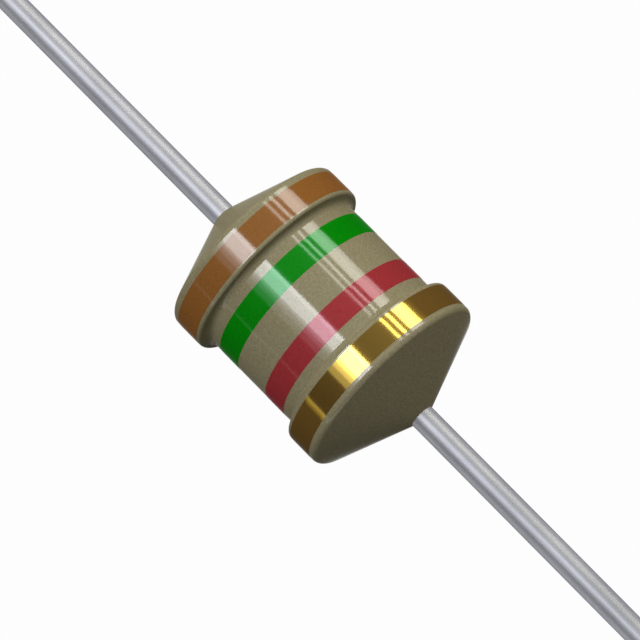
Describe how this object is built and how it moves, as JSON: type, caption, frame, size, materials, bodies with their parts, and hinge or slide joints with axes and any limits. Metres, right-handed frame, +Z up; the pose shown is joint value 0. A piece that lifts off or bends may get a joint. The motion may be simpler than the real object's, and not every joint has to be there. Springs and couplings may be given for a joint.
{
  "type": "axial inductor",
  "caption": "Axial fixed inductor: a wound ferrite drum core dipped in beige epoxy, with raised banded rims, conical ends and a straight tinned lead at each end.",
  "frame": {"origin": "middle of the body, on the axis of the two leads", "axes": "+X along the leads towards the end with the gold band, +Z up, through the slots in the core that let the wire out"},
  "size_m": [0.0608, 0.0066, 0.0066],
  "materials": {
    "ferrite": "matt sintered",
    "enamelled_wire": "gloss enamel",
    "tinned_lead": "bright drawn",
    "cement": "cured resin",
    "solder": "bright",
    "epoxy": "gloss dipped",
    "ink_brown": "gloss printed",
    "ink_green": "gloss printed",
    "ink_red": "gloss printed",
    "ink_gold": "metallic printed"
  },
  "bodies": {
    "root": {"drum_core": "ferrite", "winding": "enamelled_wire", "lead_brown_end": "tinned_lead", "lead_gold_end": "tinned_lead", "cement_brown_end": "cement", "cement_gold_end": "cement", "solder_brown_end": "solder", "solder_gold_end": "solder", "coating": "epoxy", "band_brown": "ink_brown", "band_green": "ink_green", "band_red": "ink_red", "band_gold": "ink_gold"}
  },
  "joints": []
}
